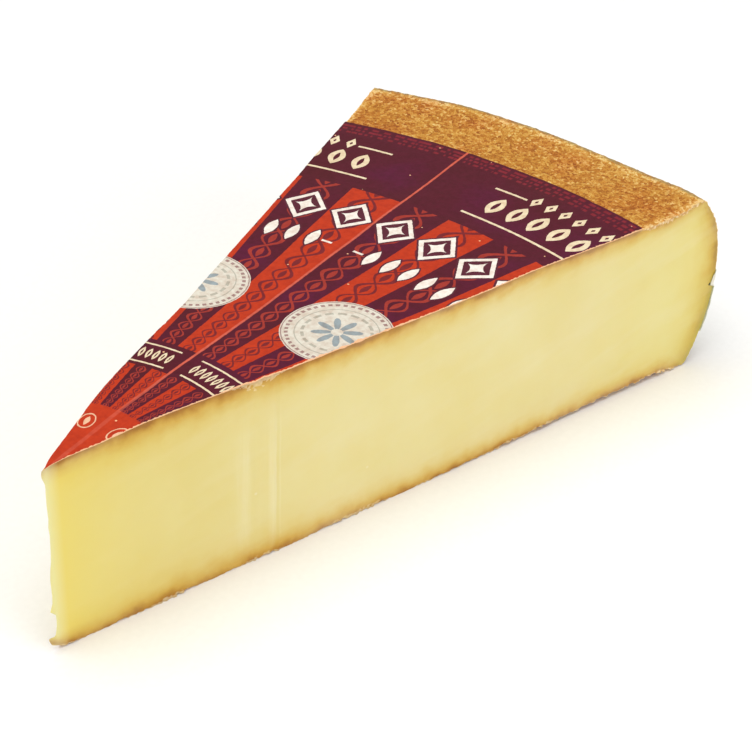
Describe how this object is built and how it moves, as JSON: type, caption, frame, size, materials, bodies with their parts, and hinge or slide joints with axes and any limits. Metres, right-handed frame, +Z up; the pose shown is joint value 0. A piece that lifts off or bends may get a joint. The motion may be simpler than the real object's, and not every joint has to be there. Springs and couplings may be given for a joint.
{
  "type": "cheese wedge",
  "caption": "Long wedge of hard mountain cheese cut from the centre to the rind of a large flat wheel, with a printed paper disc on top and a paper band round the heel.",
  "frame": {"origin": "middle of the bottom of the bounding box, on the surface that the wedge rests on", "axes": "+X from the tip to the heel along the middle plane of the wedge, +Y to the left of it, +Z up through the printed face"},
  "size_m": [0.3696, 0.2018, 0.0923],
  "materials": {
    "cheese": "satin",
    "label_paper": "satin",
    "band_paper": "satin"
  },
  "bodies": {
    "root": {"cheese": "cheese", "top_label": "label_paper", "rim_band": "band_paper"}
  },
  "joints": []
}
